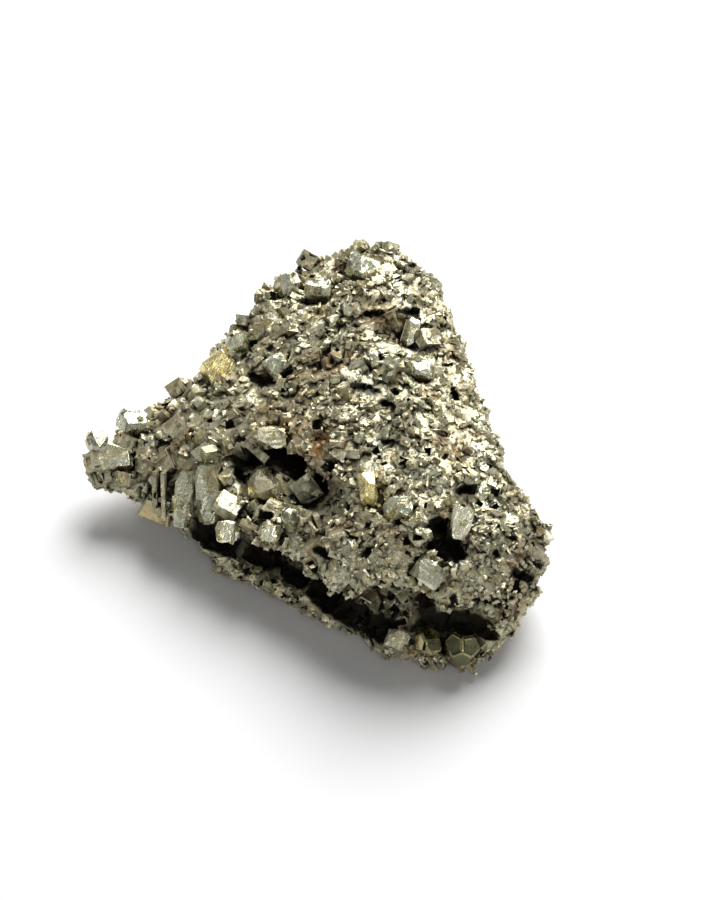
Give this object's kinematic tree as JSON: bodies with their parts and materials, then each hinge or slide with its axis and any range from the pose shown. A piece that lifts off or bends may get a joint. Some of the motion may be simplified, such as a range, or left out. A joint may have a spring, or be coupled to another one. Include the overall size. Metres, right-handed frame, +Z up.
{
  "type": "pyrite cluster specimen",
  "caption": "Rough three-cornered pyrite cluster with intergrown grains, larger blocky crystals, a gully, dark hollows and a flat broken foot.",
  "frame": {"origin": "under the middle of the specimen's box, on the surface that its flat foot rests on", "axes": "+X to the specimen's broad right end, along its longest side; -Y to the front, where the recess is; +Z up"},
  "size_m": [0.0624, 0.0616, 0.0229],
  "materials": {
    "druse": "satin",
    "grey": "gloss",
    "bright": "gloss",
    "gold": "gloss",
    "dark": "gloss"
  },
  "bodies": {
    "root": {"pyrite_mass": "druse", "tip_crystal": "grey", "tip_rear_crystal": "grey", "shoulder_crystal": "grey", "column_left": "grey", "column_right": "grey", "undercut_prism": "grey", "front_chip": "bright", "terrace_cube": "bright", "gully_cube": "bright", "terrace_nodule": "grey", "terrace_chip": "bright", "gold_blade": "gold", "dome_cube": "grey", "hole_cube": "bright", "brow_cube": "grey", "cavity_crystal_large": "dark", "cavity_crystal_small": "dark", "lip_cube": "grey", "summit_facet": "grey", "summit_cube": "grey", "summit_rear_cube": "grey", "crescent_crystal": "grey", "rim_cube": "grey", "rim_plate": "gold", "plateau_crystal": "grey", "lobe_blade": "bright"}
  },
  "joints": []
}
